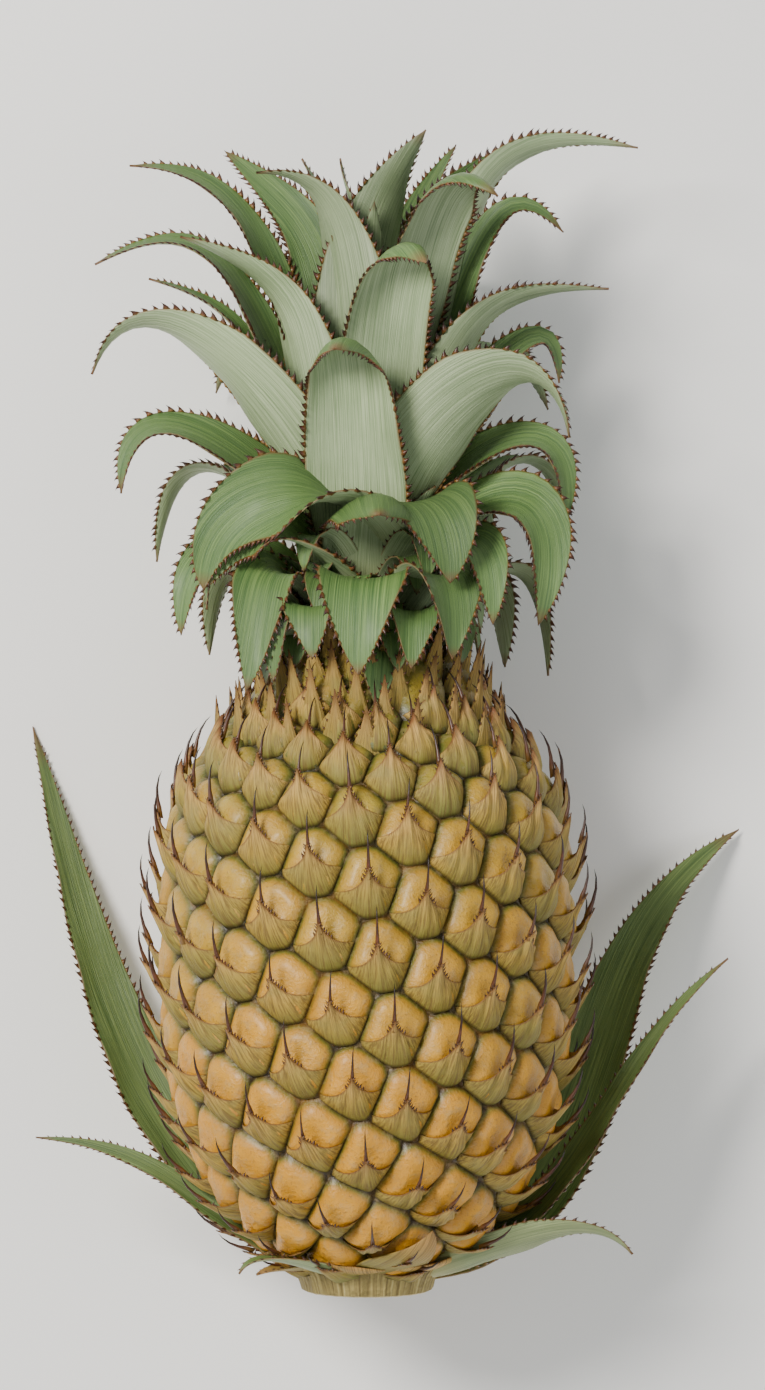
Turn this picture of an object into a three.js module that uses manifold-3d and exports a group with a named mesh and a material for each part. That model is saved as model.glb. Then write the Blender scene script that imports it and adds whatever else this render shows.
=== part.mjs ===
// A cut pineapple with its leafy crown, lying on its side.
// Millimetres. The plant's own axis runs along +Y, crown end at +Y; Z is up off the floor.
import * as THREE from "three";
import ManifoldModule from "manifold-3d";

const wasm = await ManifoldModule();
wasm.setup();
const { Manifold, Mesh: SolidMesh } = wasm;

// ---- driving sizes -------------------------------------------------------
const STEM_R = 21;            // cut stalk, at the cut
const STEM_TOP_R = 24;        // cut stalk, under the fruit
const FRUIT_BASE = 9;         // the fruit's foot, measured from the cut
const FRUIT_TOP = 207;        // top of the collar of scales, where the crown starts
const CROWN_BASE = 194;       // where the crown's own stump starts, inside the collar
const EYE_SWELL = 3.2;        // how far each eye swells past the grooves
const EYE_STEP = 0.94;        // rise from one eye to the next round the spiral
const EYE_TURN = 100.65;      // turn from one eye to the next, degrees
const EYE_FIRST = [103.4, 4.25]; // height over the fruit's foot and azimuth of one eye of the spiral
const CORE_BASE_R = 17;       // crown's stump where it leaves the fruit
const CORE_TOP_R = 6;
const CORE_TOP = 300;
const BLADE_THICK = 1.5;
const BLADE_THIN = 0.9;       // near the point
const BLADE_GAP = 0.5;        // air kept between neighbouring blades
const BLADE_SPANS = 6;
const BASE_WIDE = 0.72;       // a leaf's clasping foot against its widest
// where the taper starts along the leaf
const HOODED = { leaf_hood_lower: 4.0, leaf_hood_upper: 3.2, leaf_front_bow: 4.0, leaf_top_right_hood: 2.8 };
const BOWED = ["leaf_right_bow", "leaf_left_bow", "leaf_left_bow_low", "leaf_right_broad", "leaf_left_broad"];

// fruit outline: height over the fruit's foot, radius over the eyes
const OUTLINE = [
  [0, 20], [3, 27], [8, 34], [20, 47], [36, 57.8], [52, 64.2], [68, 67.8],
  [84, 68.9], [101, 69.1], [118, 68.6], [134, 67], [150, 63], [166, 52.5], [178, 42], [188, 35], [198, 27.5],
];

// the heart: packed leaf feet round the crown's stump, height from the cut and radius
const HEART = [
  [207.3, 22.5], [222, 22.5], [245, 20], [275, 16.5], [305, 12.5], [332, 8], [352, 2.5],
];

// leaf table, one row a leaf:
// name, foot azimuth, point azimuth, foot height, point reach, point height,
// lean at the foot, lean at the point, width, channel, roll at foot, roll at point,
// pull at the foot, pull at the point (shares of the straight length)
// azimuth 0 faces up off the floor, 90 faces +X; lean 0 points along the axis.
const CROWN = [
  ["leaf_hood_lower", -8, -10, 230, 58, 302, 22, 116, 33, 40, 0, 0, 0.62, 0.5],
  ["leaf_hood_upper", 7, 22, 244, 50, 330, 12, 132, 29, 40, 0, 4, 0.62, 0.45],
  ["leaf_front_low", 0, -3, 214, 50, 200, 40, 176, 30, 40, 0, 0, 0.9, 0.9],
  ["leaf_front_low_left", -32, -22, 206, 46, 205, 50, 178, 24, 40, 0, 0, 0.9, 0.8],
  ["leaf_front_low_right", 28, 18, 206, 46, 202, 50, 178, 22, 40, 0, 0, 0.9, 0.8],
  ["leaf_left_low_small", -50, -40, 203, 46, 198, 50, 178, 18, 40, 0, 0, 0.9, 0.9],
  ["leaf_left_low_long", -58, -46, 216, 53, 195, 45, 168, 22, 45, -10, -50, 0.8, 1.1],
  ["leaf_left_hanging", -85, -80, 226, 61, 213, 50, 180, 18, 40, -20, -60, 0.6, 0.8],
  ["leaf_left_short", -70, -64, 212, 57, 221, 50, 178, 13, 40, 0, 0, 0.7, 0.9],
  ["leaf_left_bow_low", -30, -62, 226, 58, 228, 45, 165, 29, 40, -30, -60, 0.7, 0.7],
  ["leaf_left_bow", 12, -62, 236, 59, 227, 51, 182, 31, 40, -30, -50, 0.74, 0.72],
  ["leaf_front_bow", 4, 4, 226, 60, 250, 24, 122, 33, 42, 0, 0, 0.68, 0.5],
  ["leaf_right_bow", 22, 32, 238, 50, 229, 30, 182, 33, 40, 0, 20, 0.75, 0.8],
  ["leaf_right_low_broad", 42, 33, 214, 50, 205, 40, 180, 28, 45, 0, 0, 0.9, 0.9],
  ["leaf_right_low", 62, 48, 224, 54, 216, 40, 182, 20, 45, 20, 40, 0.7, 0.9],
  ["leaf_right_hanging", 78, 72, 232, 58, 216, 35, 196, 24, 45, 20, 60, 0.9, 1.1],
  ["leaf_right_arched", 88, 82, 244, 64, 247, 32, 190, 22, 45, 20, 50, 0.8, 0.9],
  ["leaf_right_broad", 25, 68, 248, 70, 276, 36, 170, 32, 45, -30, -20, 0.7, 0.6],
  ["leaf_right_curled", 98, 100, 262, 64, 296, 40, 178, 20, 45, 30, 60, 0.6, 0.6],
  ["leaf_right_long", 60, 82, 256, 79, 325, 28, 92, 24, 45, -30, -10, 0.6, 0.5],
  ["leaf_right_hooked", 95, 85, 266, 64, 343.8, 20, 140, 20, 45, 60, 60, 0.7, 0.4],
  ["leaf_top_right_long", 80, 95, 270, 89, 372.8, 20, 100, 22, 45, -60, -30, 0.6, 0.5],
  ["leaf_top_right_back", 115, 112, 285, 63, 378.3, 14, 62, 24, 40, 60, 60, 0.6, 0.5],
  ["leaf_top_right_hood", 42, 48, 268, 56, 352, 9, 138, 27, 45, -10, -4, 0.65, 0.4],
  ["leaf_top_right_slim", 152, 140, 292, 46, 377, 10, 45, 17, 50, 20, 20, 0.42, 0.42],
  ["leaf_top_broad", 12, 60, 284, 22, 376.4, 6, 40, 37, 45, 0, -20, 0.5, 0.5],
  ["leaf_top_left_broad", -20, -66, 266, 39, 362, 10, 95, 38, 40, 6, 0, 0.6, 0.35],
  ["leaf_top_left_back", -130, -125, 282, 58, 374.8, 12, 55, 24, 40, -40, -60, 0.6, 0.5],
  ["leaf_top_mid_back", -170, -112, 306, 23, 369.3, 6, 30, 13, 40, 0, 0, 0.42, 0.42],
  ["leaf_top_small", 110, -130, 312, 11.5, 369.3, 4, 12, 10, 40, 0, 0, 0.42, 0.42],
  ["leaf_left_top_long", -95, -95, 268, 78, 366.8, 24, 90, 22, 45, -20, -40, 0.5, 0.4],
  ["leaf_left_upper_long", -98, -93, 260, 89, 334.3, 30, 118, 22, 45, -20, -30, 0.6, 0.5],
  ["leaf_left_upper_broad", -48, -76, 248, 62, 341.5, 26, 72, 34, 45, 12, 10, 0.6, 0.5],
  ["leaf_left_slim", -90, -88, 252, 71, 329, 28, 75, 15, 50, -20, -30, 0.6, 0.4],
  ["leaf_left_broad", -50, -80, 248, 90, 297, 32, 160, 28, 45, 30, 10, 0.6, 0.45],
  ["leaf_left_arched", -88, -85, 242, 80, 259, 42, 178, 26, 45, -30, -40, 0.6, 0.6],
  ["leaf_back_low_a", 100, 106, 212, 62, 200, 45, 176, 22, 42, 0, 0, 0.9, 0.9],
  ["leaf_back_low_b", 128, 130, 209, 60, 203, 45, 176, 22, 42, 0, 0, 0.9, 0.9],
  ["leaf_back_low_c", 155, 150, 213, 60, 198, 45, 176, 24, 42, 0, 0, 0.9, 0.9],
  ["leaf_back_low_d", 182, 180, 209, 60, 206, 45, 176, 22, 42, 0, 0, 0.9, 0.9],
  ["leaf_back_low_e", 208, 212, 212, 62, 201, 45, 176, 24, 42, 0, 0, 0.9, 0.9],
  ["leaf_back_low_f", 236, 238, 209, 62, 207, 45, 176, 22, 42, 0, 0, 0.9, 0.9],
  ["leaf_back_mid_a", 118, 115, 228, 74, 245, 35, 170, 24, 45, 0, 0, 0.7, 0.8],
  ["leaf_back_mid_b", 148, 146, 232, 72, 238, 35, 174, 26, 45, 0, 0, 0.7, 0.8],
  ["leaf_back_mid_c", 178, 180, 227, 67, 244, 35, 174, 26, 45, 0, 0, 0.7, 0.8],
  ["leaf_back_mid_d", 212, 214, 234, 74, 250, 35, 172, 26, 45, 0, 0, 0.7, 0.8],
  ["leaf_back_mid_e", 242, 244, 229, 78, 238, 35, 174, 24, 45, 0, 0, 0.7, 0.8],
  ["leaf_back_high_a", 135, 132, 252, 82, 290, 28, 150, 26, 45, 0, 0, 0.7, 0.6],
  ["leaf_back_high_b", 172, 172, 256, 68, 304, 25, 150, 26, 45, 0, 0, 0.7, 0.6],
  ["leaf_back_high_c", 218, 220, 254, 80, 296, 28, 150, 26, 45, 0, 0, 0.7, 0.6],
  ["leaf_back_top_a", 155, 152, 270, 66, 338, 20, 110, 24, 45, 0, 0, 0.6, 0.5],
  ["leaf_back_top_b", 198, 202, 274, 62, 346, 18, 105, 24, 45, 0, 0, 0.6, 0.5],
];
// leaves of the stalk, round the fruit's foot; these start at the stalk's skin
const STALK = [
  ["base_leaf_left_big", -116, -121, 7, 133, 183, 62, 18, 24, 30, -40, -30, 0.38, 0.4],
  ["base_leaf_left_small", -84, -99, 7, 110.5, 48, 60, 88, 10, 34, -55, -45, 0.45, 0.42],
  ["base_leaf_right_big", 112, 118, 7, 143, 148, 76, 62, 30, 30, 45, 35, 0.42, 0.45],
  ["base_leaf_right_slim", 88, 98, 7, 120, 107, 76, 52, 15, 35, 30, 30, 0.4, 0.4],
  ["base_leaf_right_low", 62, 80, 7, 87, 13.4, 74, 140, 14, 35, -50, -30, 0.5, 0.32],
];
const STALK_START = 25.5;

const LEAF_GREEN = 0x6f8a5a;
const STALK_GREEN = 0x7d8f55;
const FRUIT_GOLD = 0xd09a3a;
const STEM_TAN = 0xb9a273;
const CORE_GREEN = 0x8b9a62;

// ---- small helpers -------------------------------------------------------
const rad = THREE.MathUtils.degToRad;
const UP = new THREE.Vector3(0, 1, 0);
const outward = (az) => new THREE.Vector3(Math.sin(rad(az)), 0, Math.cos(rad(az)));

function leaning(az, lean) {
  return UP.clone().multiplyScalar(Math.cos(rad(lean)))
    .addScaledVector(outward(az), Math.sin(rad(lean)));
}

function along(table, at) {
  if (at <= table[0][0]) return table[0][1];
  for (let i = 1; i < table.length; i++) {
    const [a, ra] = table[i - 1];
    const [b, rb] = table[i];
    if (at <= b) return ra + (rb - ra) * (at - a) / (b - a);
  }
  return table[table.length - 1][1];
}

function coreRadius(y) {
  const t = THREE.MathUtils.clamp((y - CROWN_BASE) / (CORE_TOP - CROWN_BASE), 0, 1);
  return CORE_BASE_R * (1 - t) + CORE_TOP_R * t;
}

function widestAt(name) {
  if (name in HOODED) return 0.74;
  if (BOWED.includes(name)) return 0.56;
  return name.includes("_low") || name.includes("hanging") ? 0.52 : 0.38;
}

function share(s, widest) {
  // width along a leaf, as a share of its widest
  const rise = BASE_WIDE + (1 - BASE_WIDE) * Math.sin(Math.min(s / 0.35, 1) * Math.PI / 2);
  const fall = 1 - Math.max(s - widest, 0) / (1 - widest);
  return rise * Math.pow(Math.max(fall, 0), 0.82);
}

function solidFrom(points, faces) {
  const mesh = new SolidMesh({
    numProp: 3,
    vertProperties: new Float32Array(points.flat()),
    triVerts: new Uint32Array(faces.flat()),
  });
  mesh.merge();
  return new Manifold(mesh);
}

function skin(rings) {
  // closes a row of equal rings, with a fan on both ends
  const n = rings[0].length;
  const points = rings.flat().map((p) => [p.x, p.y, p.z]);
  const faces = [];
  for (let i = 0; i + 1 < rings.length; i++) {
    for (let j = 0; j < n; j++) {
      const k = (j + 1) % n;
      const [a, b, c, d] = [i * n + j, i * n + k, (i + 1) * n + k, (i + 1) * n + j];
      faces.push([a, b, c], [a, c, d]);
    }
  }
  const last = (rings.length - 1) * n;
  for (let j = 1; j + 1 < n; j++) {
    faces.push([0, j + 1, j], [last, last + j, last + j + 1]);
  }
  return solidFrom(points, faces);
}

function blade(row, start, grow) {
  // one channelled leaf blade; grow thickens it all round for clearing neighbours
  const [name, az0, az1, y0, reach, y1, lean0, lean1, width, fold, roll0, roll1, k0, k1] = row;
  const foot = outward(az0).multiplyScalar(start ?? coreRadius(y0)).addScaledVector(UP, y0);
  const point = outward(az1).multiplyScalar(reach).addScaledVector(UP, y1);
  const far = foot.distanceTo(point);
  const curve = new THREE.CubicBezierCurve3(
    foot,
    foot.clone().addScaledVector(leaning(az0, lean0), far * k0),
    point.clone().addScaledVector(leaning(az1, lean1), -far * k1),
    point,
  );
  const rings = [];
  for (let i = 0; i <= BLADE_SPANS; i++) {
    const s = i / BLADE_SPANS;
    const at = curve.getPointAt(s);
    const tangent = curve.getTangentAt(s);
    const az = rad(az0 + (az1 - az0) * s);
    const side = new THREE.Vector3(Math.cos(az), 0, -Math.sin(az));
    side.addScaledVector(tangent, -side.dot(tangent)).normalize();
    const inner = new THREE.Vector3().crossVectors(tangent, side);
    const roll = rad(roll0 + (roll1 - roll0) * s);
    const across = side.clone().multiplyScalar(Math.cos(roll))
      .addScaledVector(inner, Math.sin(roll));
    inner.multiplyScalar(Math.cos(roll)).addScaledVector(side, -Math.sin(roll));
    const half = Math.max(width * share(s, widestAt(name)) / 2, 0.8) + grow;
    // a hooded leaf's edges turn down where it bends over
    let bend = rad(Math.max(fold * (1 - (HOODED[name] ?? 0.35) * s), -78));
    if (Math.abs(bend) < 0.02) bend = 0.02;
    const round = half / bend;
    const thick = BLADE_THICK + (BLADE_THIN - BLADE_THICK) * s + 2 * grow;
    const top = [];
    const under = [];
    for (const t of width < 33 ? [-1, 0, 1] : [-1, -0.33, 0.33, 1]) {
      const turn = bend * t;
      const normal = inner.clone().multiplyScalar(Math.cos(turn))
        .addScaledVector(across, -Math.sin(turn));
      const mid = at.clone().addScaledVector(across, round * Math.sin(turn))
        .addScaledVector(inner, round * (1 - Math.cos(turn)));
      top.push(mid.clone().addScaledVector(normal, thick / 2));
      under.push(mid.clone().addScaledVector(normal, -thick / 2));
    }
    const push = i === 0 ? -grow : i === BLADE_SPANS ? grow : 0;
    const ring = [...under, ...top.reverse()];
    ring.forEach((p) => p.addScaledVector(tangent, push));
    rings.push(ring);
  }
  return skin(rings);
}

function lathe(table, sides, swell) {
  // a body turned round the plant's axis, swollen by swell(azimuth, height)
  const rings = table.map(([y, r]) => {
    const ring = [];
    for (let j = 0; j < sides; j++) {
      const az = 360 * j / sides;
      ring.push(outward(az).multiplyScalar(r + (swell ? swell(az, y, r) : 0))
        .addScaledVector(UP, y));
    }
    return ring;
  });
  return skin(rings);
}

// ---- the bodies ----------------------------------------------------------
function eyeSwell(az, y, r) {
  // low domes on a spiral lattice; the grooves between them stay at the table's radius
  let best = 1;
  for (let i = -105; i <= 90; i++) {
    const up = y - (FRUIT_BASE + EYE_FIRST[0] + i * EYE_STEP);
    if (Math.abs(up) > 16) continue;
    let turn = (az - EYE_FIRST[1] - i * EYE_TURN) % 360;
    if (turn > 180) turn -= 360;
    if (turn < -180) turn += 360;
    const round = rad(turn) * r;
    const d = Math.hypot(round / 10.5, up / 12.5);
    best = Math.min(best, d);
  }
  return EYE_SWELL * (Math.sqrt(Math.max(0, 1 - best * best)) - 1);
}

function fruit(grow) {
  const table = [];
  const rows = 14;
  const tall = FRUIT_TOP - FRUIT_BASE;
  for (let i = 0; i <= rows; i++) {
    const h = tall * i / rows;
    const push = i === 0 ? -grow : i === rows ? grow : 0;
    table.push([FRUIT_BASE + h + push, along(OUTLINE, h) + grow]);
  }
  return lathe(table, 42, (az, y, r) => {
    const h = THREE.MathUtils.clamp(y - FRUIT_BASE, 0, tall);
    const fade = Math.min(1, h / 10, (tall - h) / 14);
    return r > 24 ? eyeSwell(az, y, r) * Math.max(0, fade) : 0;
  });
}

const bodies = [];
bodies.push(["fruit", fruit(0), FRUIT_GOLD]);
bodies.push(["cut_stem", lathe([[0, STEM_R], [4, STEM_R + 1], [FRUIT_BASE - 0.3, STEM_TOP_R]], 20), STEM_TAN]);
bodies.push(["crown_heart", lathe(HEART, 12), CORE_GREEN]);

// every leaf is cleared of the bodies placed before it, so nothing overlaps
const cutters = [
  fruit(0.35),
  lathe([[-1, STEM_R + BLADE_GAP], [FRUIT_BASE + 0.5, STEM_TOP_R + 1 + BLADE_GAP]], 20),
  lathe(HEART.map(([y, r], i) => [y + (i ? 0.5 : -0.7), r + BLADE_GAP]), 12),
];

function place(row, start, colour) {
  let leaf = blade(row, start, 0);
  const box = leaf.boundingBox();
  for (const cutter of cutters) {
    const other = cutter.boundingBox();
    const apart = [0, 1, 2].some((k) => other.min[k] > box.max[k] || other.max[k] < box.min[k]);
    if (!apart) leaf = leaf.subtract(cutter);
  }
  // a cut can leave scraps: the leaf is its largest piece
  leaf = leaf.decompose().sort((a, b) => b.volume() - a.volume())[0];
  cutters.push(blade(row, start, BLADE_GAP));
  bodies.push([row[0], leaf, colour]);
}

for (const row of STALK) place(row, STALK_START, STALK_GREEN);
for (const row of CROWN) place(row, undefined, LEAF_GREEN);

// ---- hand over: floor at zero, the box centred over the origin ------------
const group = new THREE.Group();
const box = new THREE.Box3();
for (const [name, body, colour] of bodies) {
  const mesh = body.getMesh();
  const geometry = new THREE.BufferGeometry();
  geometry.setAttribute("position", new THREE.BufferAttribute(new Float32Array(mesh.vertProperties), 3));
  geometry.setIndex(new THREE.BufferAttribute(new Uint32Array(mesh.triVerts), 1));
  geometry.computeBoundingBox();
  box.union(geometry.boundingBox);
  const node = new THREE.Mesh(geometry, new THREE.MeshStandardMaterial({ color: colour, roughness: 0.6 }));
  node.name = name;
  group.add(node);
}
const middle = box.getCenter(new THREE.Vector3());
for (const node of group.children) {
  node.geometry.translate(-middle.x, -middle.y, -box.min.z);
  node.geometry.computeVertexNormals();
}

export default group;
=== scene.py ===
import math
import random
from collections import namedtuple

import bpy
from mathutils import Matrix, Vector, noise


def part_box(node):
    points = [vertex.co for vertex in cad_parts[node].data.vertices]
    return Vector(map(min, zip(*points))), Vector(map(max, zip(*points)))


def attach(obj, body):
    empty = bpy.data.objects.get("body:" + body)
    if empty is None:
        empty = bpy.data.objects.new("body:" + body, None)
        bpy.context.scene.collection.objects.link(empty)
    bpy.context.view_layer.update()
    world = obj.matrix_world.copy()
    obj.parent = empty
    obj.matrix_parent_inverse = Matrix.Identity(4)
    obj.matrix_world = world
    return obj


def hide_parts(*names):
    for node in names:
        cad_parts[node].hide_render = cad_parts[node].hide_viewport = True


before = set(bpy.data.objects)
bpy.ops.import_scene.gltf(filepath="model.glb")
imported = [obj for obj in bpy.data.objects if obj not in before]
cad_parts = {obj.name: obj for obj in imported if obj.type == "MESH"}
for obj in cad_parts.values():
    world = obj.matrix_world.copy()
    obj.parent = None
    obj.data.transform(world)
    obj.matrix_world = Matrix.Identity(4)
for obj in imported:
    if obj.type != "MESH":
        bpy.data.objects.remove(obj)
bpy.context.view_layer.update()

MM = 0.001
FLOOR_GAP = 0.0002        # nothing comes nearer to the floor than this, metres

# ---------------- the plant's own axis
# The axis runs through the middle of the cut stalk, along +Y. A place on the plant is
# given in millimetres: across (+X), up the axis from the cut, and towards the light (+Z).
stalk_low, stalk_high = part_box("cut_stem")
AXIS_X = (stalk_low.x + stalk_high.x) / 2
AXIS_Z = (stalk_low.z + stalk_high.z) / 2
CUT_Y = stalk_low.y
UP = Vector((0, 1, 0))


def row_place(p):
    """A place in plant millimetres as a place in the row frame, pressed up off the floor."""
    return Vector((AXIS_X + p[0] * MM, CUT_Y + p[1] * MM, max(AXIS_Z + p[2] * MM, FLOOR_GAP)))


def outward(az):
    """Straight out from the axis. Azimuth 0 faces the light, 90 faces +X."""
    return Vector((math.sin(math.radians(az)), 0, math.cos(math.radians(az))))


def leaning(az, lean):
    return UP * math.cos(math.radians(lean)) + outward(az) * math.sin(math.radians(lean))


def squared(direction, run):
    """A direction turned square to another."""
    return (direction - run * direction.dot(run)).normalized()


def axes(x, y, z):
    """A turn whose columns are the three directions."""
    return Matrix((x, y, z)).transposed()


def blend(a, b, t):
    return a + (b - a) * t


def clamp01(t):
    return max(0.0, min(1.0, t))


# ---------------- meshes
def hoop_faces(sides, bands, first=0):
    """Quads all the way round, between each ring of points and the next."""
    faces = []
    for row in range(first, first + bands * sides, sides):
        for j in range(sides):
            a, b = row + j, row + (j + 1) % sides
            faces.append((a, b, b + sides, a + sides))
    return faces


def drum_faces(sides, bands):
    """Rings of points, closed by a flat face at each end."""
    ends = [tuple(reversed(range(sides))), tuple(range(bands * sides, (bands + 1) * sides))]
    return hoop_faces(sides, bands) + ends


def spike_faces(sides, rings):
    """Rings of points that end in one last point, closed by a flat foot."""
    faces = [(b, a, d, c) for a, b, c, d in hoop_faces(sides, rings - 1)]
    last, point = (rings - 1) * sides, rings * sides
    faces += [(last + (j + 1) % sides, last + j, point) for j in range(sides)]
    return faces + [tuple(range(sides))]


def sheet_faces(tall, wide, first=0):
    """A closed thin sheet: its upper side's points row by row, and then its under side's."""
    top, end = tall - 1, wide - 1

    def at(under, i, j):
        return first + under * wide * tall + i * wide + j

    faces = []
    for i in range(top):
        for j in range(end):
            faces.append((at(0, i, j), at(0, i, j + 1), at(0, i + 1, j + 1), at(0, i + 1, j)))
            faces.append((at(1, i, j + 1), at(1, i, j), at(1, i + 1, j), at(1, i + 1, j + 1)))
        faces.append((at(0, i + 1, 0), at(1, i + 1, 0), at(1, i, 0), at(0, i, 0)))
        faces.append((at(0, i, end), at(1, i, end), at(1, i + 1, end), at(0, i + 1, end)))
    for j in range(end):
        faces.append((at(0, top, j), at(0, top, j + 1), at(1, top, j + 1), at(1, top, j)))
        faces.append((at(0, 0, j + 1), at(0, 0, j), at(1, 0, j), at(1, 0, j + 1)))
    return faces


def note(values, **point):
    """Adds one point's values to the lists that they are kept in."""
    for key, value in point.items():
        values.setdefault(key, []).append(value)


def new_mesh(name, verts, faces, floats=None, uv=None):
    """A mesh in metres, with named point values and a UV from one (u, v) per vertex."""
    mesh = bpy.data.meshes.new(name)
    mesh.from_pydata(verts, [], faces)
    for key, values in (floats or {}).items():
        mesh.attributes.new(key, "FLOAT", "POINT").data.foreach_set("value", values)
    if uv:
        layer = mesh.uv_layers.new(name="strip")
        for loop in mesh.loops:
            layer.data[loop.index].uv = uv[loop.vertex_index]
    mesh.shade_smooth()
    mesh.update()
    return mesh


def new_piece(name, mesh, material=None):
    piece = bpy.data.objects.new(name, mesh)
    bpy.context.scene.collection.objects.link(piece)
    if material:
        mesh.materials.clear()
        mesh.materials.append(material)
    return piece


def hand_over(piece, slot, *nodes):
    """A finished piece rides on the plant's one body and stands for its CAD nodes."""
    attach(piece, "root")
    if nodes:
        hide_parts(*nodes)


# ---------------- node trees
def put(tree, kind, links=None, **settings):
    """Adds a node. settings fill its properties, links its inputs, with values or sockets."""
    node = tree.nodes.new(kind)
    for key, value in settings.items():
        setattr(node, key, value)
    for key, value in (links or {}).items():
        socket = node.inputs[key]
        if isinstance(value, bpy.types.NodeSocket):
            tree.links.new(value, socket)
        else:
            socket.default_value = value
    return node


def linear(hex_value):
    """An sRGB hex colour as linear RGBA."""
    out = []
    for k in (16, 8, 0):
        c = ((hex_value >> k) & 255) / 255
        out.append(c / 12.92 if c <= 0.04045 else ((c + 0.055) / 1.055) ** 2.4)
    return (*out, 1.0)


def seated_copies():
    """Copies one small shape onto every seat point, turned and sized by the point's values."""
    tree = bpy.data.node_groups.new("seated copies", "GeometryNodeTree")
    for label, kind, value in (
            ("Seats", "Geometry", None), ("Shape", "Object", None), ("Smallest", "Float", 0.92),
            ("Largest", "Float", 1.08), ("Seed", "Int", 7), ("Finish", "Material", None)):
        socket = tree.interface.new_socket(
            label, in_out="INPUT", socket_type="NodeSocket" + kind)
        if value is not None:
            socket.default_value = value
    tree.interface.new_socket("Copies", in_out="OUTPUT", socket_type="NodeSocketGeometry")
    given = put(tree, "NodeGroupInput").outputs
    shape = put(tree, "GeometryNodeObjectInfo", {"Object": given["Shape"]},
                transform_space="ORIGINAL")
    turn, size = (
        put(tree, "GeometryNodeInputNamedAttribute", {"Name": name},
            data_type="FLOAT_VECTOR").outputs["Attribute"] for name in ("turn", "size"))
    spin = put(tree, "FunctionNodeEulerToRotation", {"Euler": turn})
    vary = put(tree, "FunctionNodeRandomValue", {
        "Min": given["Smallest"], "Max": given["Largest"], "Seed": given["Seed"]},
        data_type="FLOAT")
    sized = put(tree, "ShaderNodeVectorMath", {0: size, "Scale": vary.outputs["Value"]},
                operation="SCALE")
    copies = put(tree, "GeometryNodeInstanceOnPoints", {
        "Points": given["Seats"], "Instance": shape.outputs["Geometry"],
        "Rotation": spin.outputs["Rotation"], "Scale": sized.outputs["Vector"]})
    real = put(tree, "GeometryNodeRealizeInstances", {"Geometry": copies.outputs["Instances"]})
    done = put(tree, "GeometryNodeSetMaterial", {
        "Geometry": real.outputs["Geometry"], "Material": given["Finish"]})
    put(tree, "NodeGroupOutput", {"Copies": done.outputs["Geometry"]})
    return tree


SEATED = seated_copies()


def scatter(name, seats, shape, finish, vary, seed):
    """The copies as one plain mesh. A seat: place in plant mm, 3x3 turn, (sx, sy, sz), tint."""
    mesh = new_mesh(name + "_seats", [row_place(s[0]) for s in seats], [],
                    {"tint": [s[3] for s in seats]})
    turns, sizes = [], []
    for _, turn, size, _ in seats:
        turns += turn.to_euler()[:]
        sizes += size
    mesh.attributes.new("turn", "FLOAT_VECTOR", "POINT").data.foreach_set("vector", turns)
    mesh.attributes.new("size", "FLOAT_VECTOR", "POINT").data.foreach_set("vector", sizes)
    holder = new_piece(name + "_seats", mesh)
    unit = new_piece(name + "_shape", shape)
    steps = holder.modifiers.new("copies", "NODES")
    steps.node_group = SEATED
    values = {"Shape": unit, "Smallest": vary[0], "Largest": vary[1], "Seed": seed,
              "Finish": finish}
    for item in SEATED.interface.items_tree:
        if item.in_out == "INPUT" and item.name in values:
            steps[item.identifier] = values[item.name]
    held = holder.evaluated_get(bpy.context.evaluated_depsgraph_get())
    made = bpy.data.meshes.new_from_object(held)
    for old in (holder, unit):
        bpy.data.objects.remove(old)
    for vertex in made.vertices:
        vertex.co.z = max(vertex.co.z, FLOOR_GAP)
    made.name = name
    for key in ("turn", "size"):
        if key in made.attributes:
            made.attributes.remove(made.attributes[key])
    made.shade_smooth()
    return new_piece(name, made, finish)


# ---------------- materials
def new_finish(name):
    made = bpy.data.materials.new(name)
    made.use_nodes = True
    made.node_tree.nodes.clear()
    return made, made.node_tree


def own(tree, name):
    """One of the piece's own point values."""
    return put(tree, "ShaderNodeAttribute", attribute_name=name).outputs["Fac"]


def in_place(tree):
    return put(tree, "ShaderNodeTexCoord").outputs["Object"]


def on_strip(tree, across, along):
    """A place on the piece's own strip, drawn out so that a grain on it runs lengthways."""
    strip = put(tree, "ShaderNodeUVMap", uv_map="strip").outputs["UV"]
    drawn = put(tree, "ShaderNodeMapping", {"Vector": strip, "Scale": (across, along, 1)})
    return drawn.outputs["Vector"]


def grain(tree, place, scale, detail, roughness=0.5):
    return put(tree, "ShaderNodeTexNoise", {
        "Vector": place, "Scale": scale, "Detail": detail, "Roughness": roughness}).outputs["Fac"]


def between(tree, factor, low, high):
    return put(tree, "ShaderNodeMapRange", {
        "Value": factor, "To Min": low, "To Max": high}).outputs["Result"]


def ramp(tree, factor, *stops):
    """Each stop is a place with a hex colour or a plain amount."""
    node = put(tree, "ShaderNodeValToRGB", {"Fac": factor})
    bar = node.color_ramp.elements
    while len(bar) < len(stops):
        bar.new(0.5)
    for element, (at, value) in zip(bar, stops):
        element.position = at
        element.color = linear(value) if isinstance(value, int) else (value, value, value, 1)
    return node.outputs["Color"]


def mix(tree, factor, a, b):
    return put(tree, "ShaderNodeMix", {"Factor": factor, "A": a, "B": b},
               data_type="RGBA").outputs["Result"]


def stain(tree, colour, over, factor, *amounts):
    """Lays a hex colour over another, as much as the factor's ramp says."""
    return mix(tree, ramp(tree, factor, *amounts), colour, linear(over))


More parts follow.
